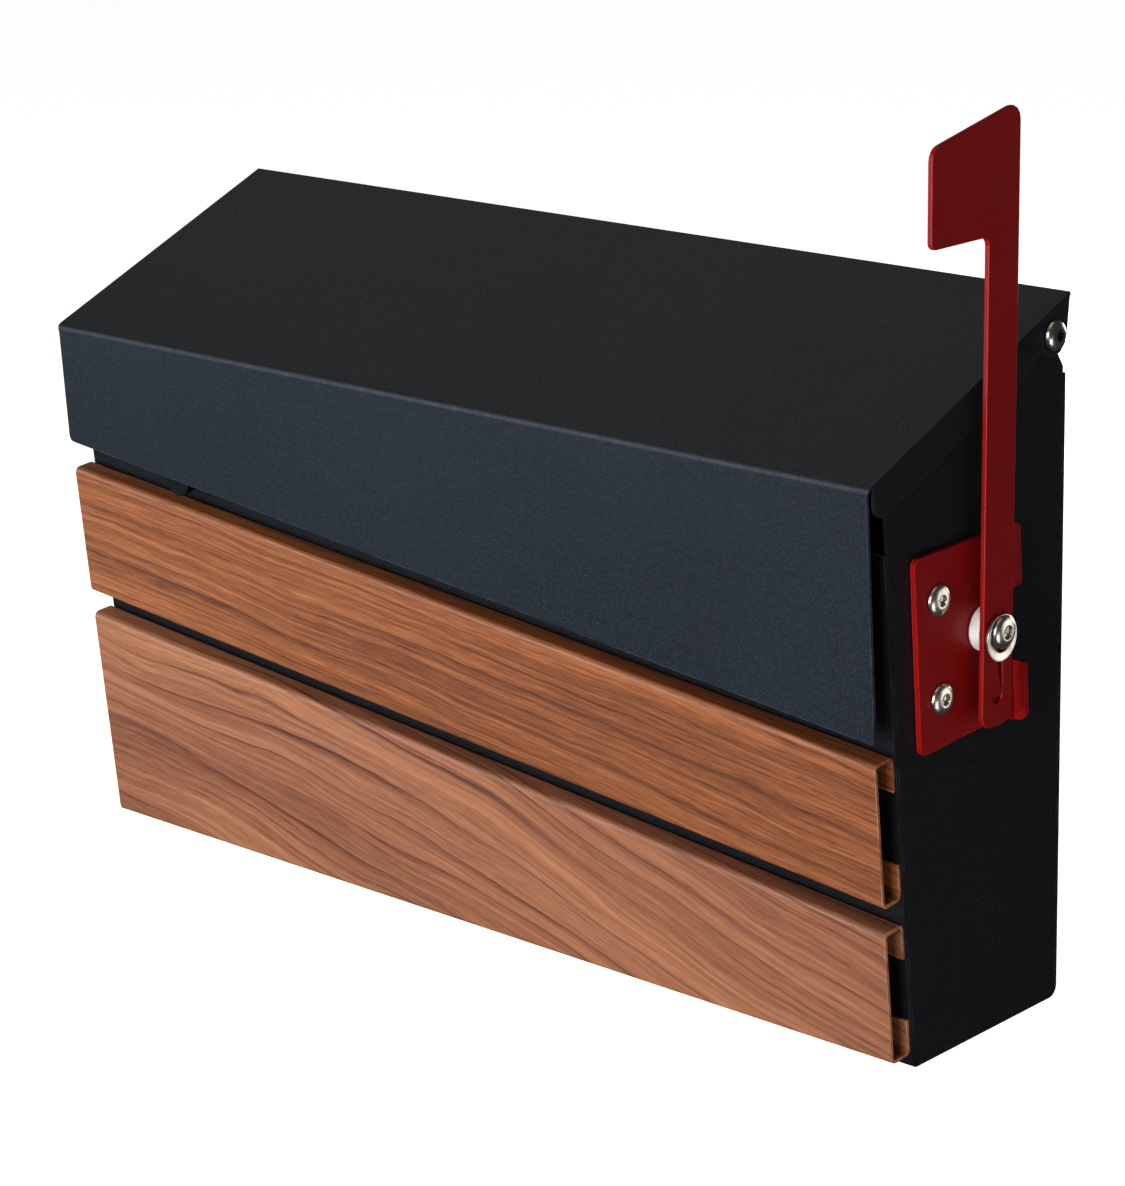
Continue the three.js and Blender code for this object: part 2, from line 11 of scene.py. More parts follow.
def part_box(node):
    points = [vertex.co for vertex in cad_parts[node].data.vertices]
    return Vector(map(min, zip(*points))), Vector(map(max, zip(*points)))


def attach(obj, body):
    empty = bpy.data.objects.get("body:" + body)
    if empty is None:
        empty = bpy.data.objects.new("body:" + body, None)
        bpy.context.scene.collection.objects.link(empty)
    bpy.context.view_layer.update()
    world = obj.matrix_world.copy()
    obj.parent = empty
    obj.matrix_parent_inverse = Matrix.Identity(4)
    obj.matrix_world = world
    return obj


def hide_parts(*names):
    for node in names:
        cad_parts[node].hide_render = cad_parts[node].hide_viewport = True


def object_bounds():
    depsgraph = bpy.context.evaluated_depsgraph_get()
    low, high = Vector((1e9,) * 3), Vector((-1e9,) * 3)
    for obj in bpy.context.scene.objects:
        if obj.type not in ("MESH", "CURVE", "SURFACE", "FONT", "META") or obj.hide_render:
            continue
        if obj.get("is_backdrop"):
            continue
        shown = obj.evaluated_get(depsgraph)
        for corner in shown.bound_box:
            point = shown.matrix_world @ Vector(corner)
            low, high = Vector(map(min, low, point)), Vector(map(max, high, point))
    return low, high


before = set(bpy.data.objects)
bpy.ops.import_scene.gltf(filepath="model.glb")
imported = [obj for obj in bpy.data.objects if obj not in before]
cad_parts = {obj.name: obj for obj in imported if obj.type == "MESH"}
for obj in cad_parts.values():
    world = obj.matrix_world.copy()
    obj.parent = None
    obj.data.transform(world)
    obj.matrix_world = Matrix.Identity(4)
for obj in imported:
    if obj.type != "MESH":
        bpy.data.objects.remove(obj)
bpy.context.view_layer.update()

# ---- Camera ------------------------------------------------------------------------------
# A long lens that looks down on the right front corner from about 1.4 metres away, with a slight
# roll and a small shift.

camera_data = bpy.data.cameras.new("studio camera")
camera_data.sensor_width = 36
camera_data.lens = 111.2
camera_data.shift_x = -0.002
camera_data.shift_y = -0.0294
camera_data.clip_start = 0.05
camera_data.clip_end = 60
camera = bpy.data.objects.new("studio camera", camera_data)
camera.location = (0.9037, -1.0125, 0.5199)
camera.rotation_euler = [math.radians(angle) for angle in (73.79, 1.333, 42.688)]
bpy.context.scene.collection.objects.link(camera)
bpy.context.scene.camera = camera
bpy.context.scene.view_settings.view_transform = "Standard"


# ---- Floor and light ---------------------------------------------------------------------
# A plain pale floor well below the mailbox, which hangs. The main lights are soft, at the front left
# and front, with weak fills. The floor and the backdrop look white but light the mailbox less.

def put(tree, kind, inputs=None, **settings):
    """Adds a node. An input is a plain value or the socket that feeds it."""
    node = tree.nodes.new("ShaderNode" + kind)
    for key, value in settings.items():
        setattr(node, key, value)
    for key, value in (inputs or {}).items():
        if isinstance(value, bpy.types.NodeSocket):
            tree.links.new(value, node.inputs[key])
        else:
            node.inputs[key].default_value = value
    return node


def colour(red, green, blue):
    """A colour named by its 0 to 255 screen values, as the linear one that a shader takes."""
    linear = []
    for part in (red, green, blue):
        if part <= 10:
            linear.append(part / 255 / 12.92)
        else:
            linear.append(((part / 255 + 0.055) / 1.055) ** 2.4)
    return (*linear, 1.0)


def finish_of(name):
    """A new material, its node tree and its Principled shader."""
    material = bpy.data.materials.new(name)
    material.use_nodes = True
    return material, material.node_tree, material.node_tree.nodes["Principled BSDF"]


FLOOR_BELOW = 0.30
FLOOR_HALF = 20.0
FLOOR_SEEN = 0.93
FLOOR_LIGHT = 0.45

floor_mesh = bmesh.new()
bmesh.ops.create_grid(floor_mesh, x_segments=2, y_segments=2, size=FLOOR_HALF)
bmesh.ops.translate(floor_mesh, verts=floor_mesh.verts, vec=(0, 0, -FLOOR_BELOW))
floor_data = bpy.data.meshes.new("floor")
floor_mesh.to_mesh(floor_data)
floor_mesh.free()
floor = bpy.data.objects.new("floor", floor_data)
bpy.context.scene.collection.objects.link(floor)
floor_paint, tree, shader = finish_of("pale floor")
shader.inputs["Base Color"].default_value = colour(225, 225, 225)
shader.inputs["Roughness"].default_value = 0.9
shader.inputs["Specular IOR Level"].default_value = 0.0
shader.inputs["Emission Color"].default_value = (1, 1, 1, 1)
seen = put(tree, "LightPath").outputs["Is Camera Ray"]
glow = put(tree, "MapRange", {"Value": seen, "To Min": FLOOR_LIGHT, "To Max": FLOOR_SEEN}).outputs[0]
tree.links.new(glow, shader.inputs["Emission Strength"])
floor_data.materials.append(floor_paint)
floor.visible_glossy = False
floor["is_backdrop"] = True

BACKDROP_SEEN = 0.98
BACKDROP_LIGHT = 0.035

studio = bpy.data.worlds.new("studio")
studio.use_nodes = True
tree = studio.node_tree
backdrop = tree.nodes["Background"]
seen = put(tree, "LightPath").outputs["Is Camera Ray"]
glow = put(tree, "MapRange", {"Value": seen, "To Min": BACKDROP_LIGHT, "To Max": BACKDROP_SEEN}).outputs[0]
tree.links.new(glow, backdrop.inputs["Strength"])
backdrop.inputs["Color"].default_value = (0.98, 0.99, 1.0, 1)
bpy.context.scene.world = studio


def soft_light(name, place, aim, width, height, power, tint, only=None):
    """A rectangular light that faces its aim. only is a collection, if it lights nothing else."""
    light = bpy.data.lights.new(name, "AREA")
    light.shape = "RECTANGLE"
    light.size = width
    light.size_y = height
    light.energy = power
    light.color = tint
    lamp = bpy.data.objects.new(name, light)
    lamp.location = place
    lamp.rotation_euler = (Vector(aim) - Vector(place)).to_track_quat("-Z", "Y").to_euler()
    lamp.visible_camera = False
    bpy.context.scene.collection.objects.link(lamp)
    if only:
        lamp.light_linking.receiver_collection = only
    return lamp


soft_light("front left", (-1.5, -2.1, 1.0), (0, -0.1, 0.12), 1.9, 1.5, 36, (0.95, 0.98, 1.0))
soft_light("front", (0.75, -2.5, 0.6), (0.1, -0.1, 0.15), 0.9, 1.2, 48, (0.98, 0.98, 1.0))
soft_light("low front left", (-1.3, -1.75, 0.02), (0, -0.1, 0.15), 1.2, 0.4, 6, (0.42, 0.74, 1.0))
soft_light("back left", (-1.5, 0.95, 1.6), (0, -0.05, 0.2), 1.3, 1.3, 1.6, (1.0, 0.86, 0.66))
soft_light("low right", (0.8, -0.2, -0.2), (0.2, -0.06, 0.04), 0.4, 0.4, 1.6, (0.92, 0.95, 1.0))
soft_light("behind", (-0.35, 2.4, 0.12), (0, 0, 0.12), 1.6, 0.5, 26, (1.0, 0.98, 0.95))
soft_light("overhead", (0.1, -0.5, 2.6), (0, -0.2, 0), 2.2, 2.2, 9.8, (1.0, 0.89, 0.76))


# ---- Body wrap: front wall, floor and back wall ------------------------------------------
# One sheet of 1.2 mm steel folded into a U, powder coated in a fine-textured satin black. Its cut
# edges and folds are eased, as a deburred sheet's are once the coat has flowed round them.

MM = 0.001
SHEET_EASING = 0.3 * MM
FLOAT = "NodeSocketFloat"


def shared_effect(name, inputs, outputs):
    """An empty node group with named sockets, its input node and its output node."""
    group = bpy.data.node_groups.new(name, "ShaderNodeTree")
    for label, kind, value in inputs:
        group.interface.new_socket(name=label, in_out="INPUT", socket_type=kind).default_value = value
    for label, kind in outputs:
        group.interface.new_socket(name=label, in_out="OUTPUT", socket_type=kind)
    return group, group.nodes.new("NodeGroupInput"), group.nodes.new("NodeGroupOutput")


def place_effect(tree, group, **values):
    """Puts a shared effect into a material, with that material's own values."""
    node = tree.nodes.new("ShaderNodeGroup")
    node.node_tree = group
    for key, value in values.items():
        node.inputs[key.replace("_", " ")].default_value = value
    return node


def sums(tree, operation, *terms, clamp=False):
    """The result of one Math node."""
    node = put(tree, "Math", dict(enumerate(terms)), operation=operation)
    node.use_clamp = clamp
    return node.outputs[0]


def blend(tree, factor, first, second, kind="MIX"):
    """The colour that a Mix node makes of two."""
    node = put(tree, "Mix", {0: factor, 6: first, 7: second}, data_type="RGBA", blend_type=kind)
    return node.outputs[2]


def range_of(tree, value, low, high, to_low=0.0, to_high=1.0):
    """One value range mapped onto another, and clamped to it."""
    terms = {"Value": value, "From Min": low, "From Max": high, "To Min": to_low, "To Max": to_high}
    return put(tree, "MapRange", terms).outputs[0]


# Where folds, corners and cut edges are, in patches: 1 on a sharp edge and 0 on a face. It places edge
# wear, and in the powder coats and the walnut print a painted highlight too.
edge_scuffs_and_highlight, given, result = shared_effect(
    "edge scuffs and highlight",
    [("Width", FLOAT, 0.0006), ("Patch Scale", FLOAT, 90.0), ("Amount", FLOAT, 1.0)],
    [("Mask", FLOAT)],
)
eased = put(edge_scuffs_and_highlight, "Bevel", {"Radius": given.outputs["Width"]}, samples=6)
face = put(edge_scuffs_and_highlight, "NewGeometry")
likeness = put(
    edge_scuffs_and_highlight, "VectorMath", {0: eased.outputs[0], 1: face.outputs["Normal"]}, operation="DOT_PRODUCT"
)
difference = sums(edge_scuffs_and_highlight, "SUBTRACT", 1.0, likeness.outputs["Value"])
turned_away = range_of(edge_scuffs_and_highlight, difference, 0.01, 0.2)
where = put(edge_scuffs_and_highlight, "TexCoord").outputs["Object"]
patches = put(edge_scuffs_and_highlight, "TexNoise", {
    "Vector": where, "Scale": given.outputs["Patch Scale"], "Detail": 4.0,
})
patchy = range_of(edge_scuffs_and_highlight, patches.outputs[0], 0.38, 0.62)
scuffed_and_highlit = sums(edge_scuffs_and_highlight, "MULTIPLY", turned_away, patchy)
scuffed_and_highlit = sums(edge_scuffs_and_highlight, "MULTIPLY", scuffed_and_highlit, given.outputs["Amount"], clamp=True)
edge_scuffs_and_highlight.links.new(scuffed_and_highlit, result.inputs["Mask"])

# The skin of a powder coat: orange peel with a fine grit in it, tiny bright grains, slow clouding.
powder_skin, given, result = shared_effect(
    "powder skin",
    [("Peel Scale", FLOAT, 620.0), ("Grit Scale", FLOAT, 2300.0), ("Grain Density", FLOAT, 0.2)],
    [("Height", FLOAT), ("Grains", FLOAT), ("Clouds", FLOAT), ("Peel", FLOAT)],
)
where = put(powder_skin, "TexCoord").outputs["Object"]
peel = put(powder_skin, "TexNoise", {
    "Vector": where, "Scale": given.outputs["Peel Scale"], "Detail": 2.0,
})
grit = put(powder_skin, "TexNoise", {
    "Vector": where, "Scale": given.outputs["Grit Scale"], "Detail": 3.0,
})
grains = put(powder_skin, "TexVoronoi", {"Vector": where, "Scale": given.outputs["Grit Scale"]})
height = sums(powder_skin, "MULTIPLY_ADD", grit.outputs[0], 0.45, peel.outputs[0])
powder_skin.links.new(height, result.inputs["Height"])
bright = put(powder_skin, "SeparateColor", {0: grains.outputs["Color"]})
chosen = sums(powder_skin, "LESS_THAN", bright.outputs[0], given.outputs["Grain Density"])
core = range_of(powder_skin, grains.outputs["Distance"], 0.5, 0.15)
powder_skin.links.new(sums(powder_skin, "MULTIPLY", chosen, core), result.inputs["Grains"])
clouds = put(powder_skin, "TexNoise", {"Vector": where, "Scale": 11.0, "Detail": 4.0, "Roughness": 0.6})
powder_skin.links.new(clouds.outputs[0], result.inputs["Clouds"])
powder_skin.links.new(peel.outputs[0], result.inputs["Peel"])


def powder_coat(name, deep, light, grain, scuffed_and_highlit, roughness, relief, grain_strength, specular):
    """Powder coat: two tones that drift into each other, bright grains, and paler eased edges, which are
    partly scuffed wear and partly a painted highlight.
    """
    material, tree, shader = finish_of(name)
    skin = place_effect(tree, powder_skin)
    edge_mask = place_effect(tree, edge_scuffs_and_highlight)
    drift = range_of(tree, skin.outputs["Clouds"], 0.3, 0.7)
    body = blend(tree, drift, deep, light)
    grained = sums(tree, "MULTIPLY", skin.outputs["Grains"], grain_strength)
    body = blend(tree, grained, body, grain)
    # Painted highlight: the pale edge colour stands in for light caught on folds and front edges, with
    # some scuffed wear.
    body = blend(tree, sums(tree, "MULTIPLY", edge_mask.outputs["Mask"], 0.6), body, scuffed_and_highlit)
    tree.links.new(body, shader.inputs["Base Color"])
    gloss = range_of(tree, skin.outputs["Peel"], 0.3, 0.7, roughness - 0.05, roughness + 0.07)
    scuff_and_sheen = sums(tree, "MULTIPLY", edge_mask.outputs["Mask"], 0.1)
    tree.links.new(sums(tree, "SUBTRACT", gloss, scuff_and_sheen), shader.inputs["Roughness"])
    bump = put(tree, "Bump", {"Height": skin.outputs["Height"], "Distance": relief, "Strength": 1.0})
    tree.links.new(bump.outputs[0], shader.inputs["Normal"])
    shader.inputs["Specular IOR Level"].default_value = specular
    return material


black_coat = powder_coat(
    "black powder coat", deep=colour(8, 9, 12), light=colour(12, 13, 17), grain=colour(42, 46, 56),
    scuffed_and_highlit=colour(60, 63, 70), roughness=0.5, relief=0.00006, grain_strength=0.4, specular=0.25,
)


def folded_sheet(node, name, easing, material, body="root"):
    """A sheet piece in the place of its CAD node, with its doubled corners merged, its triangles
    joined into whole faces, and every cut edge and fold line eased."""
    shape = bmesh.new()
    shape.from_mesh(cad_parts[node].data)
    bmesh.ops.remove_doubles(shape, verts=shape.verts, dist=0.002 * MM)
    flat = math.radians(0.4)
    bmesh.ops.dissolve_limit(shape, angle_limit=flat, verts=shape.verts, edges=shape.edges)
    return settle(shape, name, easing, material, body, [node])


def settle(shape, name, easing, material, body, nodes):
    """Makes the shape an object with eased edges that rides on its body and stands for its nodes."""
    data = bpy.data.meshes.new(name)
    shape.to_mesh(data)
    shape.free()
    for spare in ("custom_normal", "sharp_edge", "sharp_face"):
        if spare in data.attributes:
            data.attributes.remove(data.attributes[spare])
    data.materials.clear()
    data.materials.append(material)
    data.polygons.foreach_set("material_index", [0] * len(data.polygons))
    data.polygons.foreach_set("use_smooth", [True] * len(data.polygons))
    piece = bpy.data.objects.new(name, data)
    bpy.context.scene.collection.objects.link(piece)
    if easing:
        rounding = piece.modifiers.new("eased edges", "BEVEL")
        rounding.width = easing
        rounding.segments = 2
        rounding.limit_method = "ANGLE"
        rounding.angle_limit = math.radians(32)
        rounding.use_clamp_overlap = True
    normals = piece.modifiers.new("flat faces", "WEIGHTED_NORMAL")
    normals.keep_sharp = True
    if material.name == "stainless steel":
        bright_metal.objects.link(piece)
    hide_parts(*nodes)
    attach(piece, body)
    return piece


folded_sheet("body_wrap", "body_front_floor_and_back", SHEET_EASING, black_coat)


# ---- Side panels -------------------------------------------------------------------------
# Pressed from the same sheet, with a flange all round that is spot welded inside the wrap. The
# right one is pierced for the flag's bracket, its pivot bolt and the lid's hinge screw.

for side in ("left", "right"):
    folded_sheet(f"side_panel_{side}", f"side_{side}", SHEET_EASING, black_coat)


# ---- Wood-look panels --------------------------------------------------------------------
# Channels folded from sheet that is printed with walnut grain under a satin clear coat. Their
# ends are open, and return lips lie on the front wall. The grain runs along the slanted edges.

COLOUR = "NodeSocketColor"
VECTOR = "NodeSocketVector"
SLANT = math.radians(-5.44)
walnut_print, given, result = shared_effect(
    "walnut print",
    [
        ("Slant", VECTOR, (0.0, SLANT, 0.0)), ("Shift", VECTOR, (0.0, 0.0, 0.0)),
        ("Waviness", FLOAT, 0.012), ("Sweep", FLOAT, 0.0), ("Sweep Middle", FLOAT, 0.04),
        ("Line Spacing", FLOAT, 0.006), ("Line Strength", FLOAT, 0.3), ("Bundle", FLOAT, 0.5),
        ("Streaks", FLOAT, 1.0), ("Depth", FLOAT, 0.0), ("Fade", FLOAT, 0.0),
        ("Saturation", FLOAT, 1.0), ("Lightness", FLOAT, 1.0),
    ],
    [("Color", COLOUR), ("Height", FLOAT), ("Figure", FLOAT)],
)
where = put(walnut_print, "TexCoord").outputs["Object"]
turned = put(
    walnut_print, "VectorRotate", {"Vector": where, "Rotation": given.outputs["Slant"]},
    rotation_type="EULER_XYZ",
)
parts = put(walnut_print, "SeparateXYZ", {0: turned.outputs[0]})
along = parts.outputs["X"]
across = sums(walnut_print, "ADD", parts.outputs["Z"], parts.outputs["Y"])
seed = put(walnut_print, "SeparateXYZ", {0: given.outputs["Shift"]})


def grain_noise(level, stretch_along, stretch_across, detail, rough, layer):
    """Noise stretched along the grain. level is where it is across the grain."""
    spot = put(walnut_print, "CombineXYZ", {
        "X": sums(walnut_print, "MULTIPLY_ADD", along, stretch_along, seed.outputs["X"]),
        "Y": sums(walnut_print, "MULTIPLY_ADD", level, stretch_across, seed.outputs["Y"]),
        "Z": layer,
    })
    noise = put(walnut_print, "TexNoise", {
        "Vector": spot.outputs[0], "Scale": 1.0, "Detail": detail, "Roughness": rough,
    })
    return noise.outputs[0]


def centred(value, amount):
    """A 0 to 1 noise moved to lie round 0, times an amount."""
    return sums(walnut_print, "MULTIPLY", sums(walnut_print, "SUBTRACT", value, 0.5), amount)


# The rings drift slowly, quiver a little, and sweep down where the board was cut near the heart.
SWEEP_LENGTH = 0.09
drift = centred(grain_noise(across, 5.0, 14.0, 2.0, 0.5, 1.7), given.outputs["Waviness"])
quiver = centred(grain_noise(across, 40.0, 90.0, 1.0, 0.5, 4.2), 0.0016)
from_middle = sums(walnut_print, "SUBTRACT", along, given.outputs["Sweep Middle"])
from_middle = sums(walnut_print, "DIVIDE", from_middle, SWEEP_LENGTH)
swept = sums(walnut_print, "MULTIPLY", sums(walnut_print, "TANH", from_middle), given.outputs["Sweep"])
quiver = sums(walnut_print, "ADD", quiver, swept)
ring = sums(walnut_print, "ADD", sums(walnut_print, "ADD", across, drift), quiver)

# Broad soft bands, fine streaks, a thin dark line where each year ends, fibres and pores.
broad = grain_noise(ring, 2.0, 60.0, 2.0, 0.55, 7.9)
narrow = grain_noise(ring, 5.0, 520.0, 3.0, 0.6, 2.3)
years = sums(walnut_print, "DIVIDE", ring, given.outputs["Line Spacing"])
growth = sums(walnut_print, "FRACT", sums(walnut_print, "MULTIPLY_ADD", broad, 3.0, years))
late_wood = sums(walnut_print, "POWER", growth, 7.0)
breaks = range_of(walnut_print, grain_noise(ring, 7.0, 120.0, 1.0, 0.5, 6.6), 0.3, 0.6)
late_wood = sums(walnut_print, "MULTIPLY", late_wood, breaks)
fibre = grain_noise(ring, 60.0, 1300.0, 2.0, 0.65, 9.1)
pores = range_of(walnut_print, grain_noise(ring, 150.0, 2400.0, 1.0, 0.5, 5.5), 0.6, 0.72)
bundle = range_of(walnut_print, grain_noise(ring, 2.2, 26.0, 2.0, 0.5, 3.3), 0.5, 0.7)

tone = sums(walnut_print, "ADD", centred(broad, 0.5), 0.6)
tone = sums(walnut_print, "SUBTRACT", tone, given.outputs["Depth"])
# Shading darkens the print towards the right end and lightens it towards the left: painted shade, the
# light falling off across the panel.
for part, amount in ((along, "Fade"), (late_wood, "Line Strength"), (bundle, "Bundle")):
    darkening = sums(walnut_print, "MULTIPLY", part, given.outputs[amount])
    tone = sums(walnut_print, "SUBTRACT", tone, darkening)
streaks = sums(walnut_print, "ADD", centred(narrow, 1.0), centred(fibre, 0.62))
tone = sums(walnut_print, "MULTIPLY_ADD", streaks, given.outputs["Streaks"], tone)
tone = sums(walnut_print, "MULTIPLY_ADD", pores, -0.13, tone, clamp=True)
print_colour = put(walnut_print, "ValToRGB", {0: tone})
shades = [
    (0.05, colour(68, 32, 14)),
    (0.28, colour(104, 55, 27)),
    (0.5, colour(136, 78, 43)),
    (0.72, colour(161, 99, 60)),
    (1.0, colour(196, 134, 88)),
]
band = print_colour.color_ramp
while len(band.elements) < len(shades):
    band.elements.new(1.0)
for element, (position, shade) in zip(band.elements, shades):
    element.position = position
    element.color = shade
tinted = put(walnut_print, "HueSaturation", {
    "Saturation": given.outputs["Saturation"], "Value": given.outputs["Lightness"],
    "Color": print_colour.outputs[0],
})
walnut_print.links.new(tinted.outputs[0], result.inputs["Color"])
relief = sums(walnut_print, "MULTIPLY_ADD", narrow, 0.5, fibre)
relief = sums(walnut_print, "MULTIPLY_ADD", pores, -0.6, relief)
relief = sums(walnut_print, "MULTIPLY_ADD", late_wood, -0.5, relief)
walnut_print.links.new(relief, result.inputs["Height"])
walnut_print.links.new(broad, result.inputs["Figure"])


def walnut_coat(name, **figure):
    """Printed walnut under a satin clear coat, paler and smoother along its edges: handled wear, and a
    painted highlight along the folds.
    """
    material, tree, shader = finish_of(name)
    grain = place_effect(tree, walnut_print, **figure)
    edge_mask = place_effect(tree, edge_scuffs_and_highlight, Width=0.0007, Patch_Scale=60.0)
    on_edges = sums(tree, "MULTIPLY", edge_mask.outputs["Mask"], 0.7)
    # Painted highlight: the pale warm edge colour stands in for light caught on the top-front folds, with
    # some handled wear.
    scuff_and_sheen = blend(tree, on_edges, grain.outputs["Color"], colour(232, 174, 132))
    tree.links.new(scuff_and_sheen, shader.inputs["Base Color"])
    gloss = range_of(tree, grain.outputs["Figure"], 0.3, 0.7, 0.52, 0.44)
    tree.links.new(gloss, shader.inputs["Roughness"])
    bump = put(tree, "Bump", {"Height": grain.outputs["Height"], "Distance": 0.00005})
    tree.links.new(bump.outputs[0], shader.inputs["Normal"])
    return material


narrow_walnut = walnut_coat(
    "walnut print, upper panel",
    Waviness=0.015, Sweep=0.002, Line_Spacing=0.0036, Line_Strength=0.22,
    Bundle=0.22, Streaks=1.05, Depth=0.13, Fade=0.4,
    Saturation=1.04, Lightness=0.94, Shift=(2.3, 0.4, 0.0),
)
# Its print is a little less saturated than the upper panel's: a painted haze of sheen.
wide_walnut = walnut_coat(
    "walnut print, lower panel",
    Waviness=0.036, Sweep=0.024, Line_Spacing=0.01, Line_Strength=0.43,
    Bundle=0.16, Streaks=0.78, Depth=0.03, Fade=0.14,
    Saturation=0.955, Lightness=0.97, Shift=(7.1, 3.2, 0.0),
)
folded_sheet("upper_panel", "wood_panel_upper", SHEET_EASING, narrow_walnut)
folded_sheet("lower_panel", "wood_panel_lower", SHEET_EASING, wide_walnut)


# ---- Panel screws ------------------------------------------------------------------------
# Small stainless pan heads, put in from inside through the front wall into the return lips. They
# show only when the lid is open.

fine_marks, given, result = shared_effect(
    "fine marks",
    [("Scale", FLOAT, 300.0), ("Stretch", VECTOR, (1.0, 8.0, 8.0))],
    [("Lines", FLOAT), ("Smudges", FLOAT)],
)
where = put(fine_marks, "TexCoord").outputs["Object"]
drawn = put(fine_marks, "VectorMath", {0: where, 1: given.outputs["Stretch"]}, operation="MULTIPLY")
lines = put(fine_marks, "TexNoise", {
    "Vector": drawn.outputs[0], "Scale": given.outputs["Scale"], "Detail": 4.0, "Roughness": 0.65,
})
smudges = put(fine_marks, "TexNoise", {"Vector": where, "Scale": 220.0, "Detail": 3.0})
fine_marks.links.new(lines.outputs[0], result.inputs["Lines"])
fine_marks.links.new(smudges.outputs[0], result.inputs["Smudges"])

stainless, tree, shader = finish_of("stainless steel")
marks = place_effect(tree, fine_marks)
edge_mask = place_effect(tree, edge_scuffs_and_highlight, Width=0.0003, Patch_Scale=400.0)
smudged = range_of(tree, marks.outputs["Smudges"], 0.35, 0.7)
dulled = blend(tree, smudged, colour(214, 208, 198), colour(176, 168, 156))
on_edges = sums(tree, "MULTIPLY", edge_mask.outputs["Mask"], 0.5)
dulled = blend(tree, on_edges, dulled, colour(236, 234, 230))
tree.links.new(dulled, shader.inputs["Base Color"])
gloss = range_of(tree, marks.outputs["Lines"], 0.3, 0.7, 0.2, 0.36)
tree.links.new(gloss, shader.inputs["Roughness"])
shader.inputs["Metallic"].default_value = 1.0
bump = put(tree, "Bump", {"Height": marks.outputs["Lines"], "Distance": 0.00001})
tree.links.new(bump.outputs[0], shader.inputs["Normal"])

bright_metal = bpy.data.collections.new("bright metal")
soft_light(
    "card for the bright metal", (1.7, 1.7, 0.1), (0.2, -0.06, 0.15), 2.0, 1.4, 17,
    (1.0, 0.97, 0.92), only=bright_metal,
)

HARDWARE_EASING = 0.15 * MM
for panel in ("upper", "lower"):
    for row in ("top", "bottom"):
        for side in ("left", "right"):
            screw = f"{panel}_panel_screw_{row}_{side}"
            folded_sheet(screw, screw + "_pan_head", HARDWARE_EASING, stainless)


# ---- Lid ---------------------------------------------------------------------------------
# One sheet folded into a sloping roof, a front lip whose lower edge falls to the right, and two cheeks
# with round ears. Its black coat is painted paler and bluer than the body's for the cool light on the lip,
# and painted darker on the cheeks for their shade.

# Painted light: a paler, bluer copy of the black coat, standing in for the cool light on the lip; its edge
# colour is a bluish painted highlight.
lid_coat = powder_coat(
    "black powder coat with painted cool light", deep=colour(14, 19, 25), light=colour(18, 24, 31), grain=colour(62, 72, 86),
    scuffed_and_highlit=colour(92, 100, 114), roughness=0.47, relief=0.00007, grain_strength=0.55, specular=0.36,
)
half_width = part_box("lid")[1].x
tree = lid_coat.node_tree
shader = tree.nodes["Principled BSDF"]
coat = shader.inputs["Base Color"].links[0].from_socket
# Painted shade: the cheeks' outer faces are multiplied darker.
spot = put(tree, "SeparateXYZ", {0: put(tree, "TexCoord").outputs["Object"]})
from_middle = sums(tree, "ABSOLUTE", spot.outputs["X"])
cheek_in_shade = sums(tree, "GREATER_THAN", from_middle, half_width - 0.25 * MM)
painted_cheek_shade = blend(tree, cheek_in_shade, coat, (0.5, 0.45, 0.42, 1.0), "MULTIPLY")
tree.links.new(painted_cheek_shade, shader.inputs["Base Color"])
folded_sheet("lid", "lid_roof_lip_and_cheeks", SHEET_EASING, lid_coat, "lid")


# ---- Lid bumpers -------------------------------------------------------------------------
# Black rubber buttons on the back of the lip, which meet the front wall as the lid shuts.

rubber, tree, shader = finish_of("black rubber")
marks = place_effect(tree, fine_marks, Scale=900.0, Stretch=(1.0, 1.0, 1.0))
edge_mask = place_effect(tree, edge_scuffs_and_highlight, Width=0.0005, Patch_Scale=260.0)
smudged = range_of(tree, marks.outputs["Smudges"], 0.4, 0.75)
dusty = blend(tree, smudged, colour(4, 4, 5), colour(12, 12, 13))
on_edges = sums(tree, "MULTIPLY", edge_mask.outputs["Mask"], 0.4)
dusty = blend(tree, on_edges, dusty, colour(26, 26, 26))
tree.links.new(dusty, shader.inputs["Base Color"])
shader.inputs["Specular IOR Level"].default_value = 0.2
gloss = range_of(tree, marks.outputs["Lines"], 0.3, 0.7, 0.7, 0.9)
tree.links.new(gloss, shader.inputs["Roughness"])
bump = put(tree, "Bump", {"Height": marks.outputs["Lines"], "Distance": 0.00006})
tree.links.new(bump.outputs[0], shader.inputs["Normal"])


def hexagon(across_flats):
    """Distance to a hexagon's outline, by the angle round its middle."""
    def reach(angle):
        return across_flats / 2 / math.cos(math.radians((math.degrees(angle) % 60) - 30))
    return reach


def turned_piece(rings, segments=48, hollow=False):
    """A piece turned on its Z axis: a stack of (radius, height) rings that are bridged, where the
    radius may be a hexagon's. Its ends are closed, or the last ring meets the first if hollow."""
    shape = bmesh.new()
    loops = []
    for radius, height in rings:
        circle = bmesh.ops.create_circle(shape, segments=segments, radius=1.0)["verts"]
        for corner in circle:
            angle = math.atan2(corner.co.y, corner.co.x)
            reach = radius(angle) if callable(radius) else radius
            corner.co = Vector((math.cos(angle) * reach, math.sin(angle) * reach, height))
        corners = set(circle)
        loops.append([edge for edge in shape.edges if corners.issuperset(edge.verts)])
    pairs = list(zip(loops, loops[1:]))
    if hollow:
        pairs.append((loops[-1], loops[0]))
    for lower, upper in pairs:
        bmesh.ops.bridge_loops(shape, edges=lower + upper)
    if not hollow:
        for loop in (loops[0], loops[-1]):
            bmesh.ops.contextual_create(shape, geom=loop)
    bmesh.ops.recalc_face_normals(shape, faces=shape.faces)
    return shape


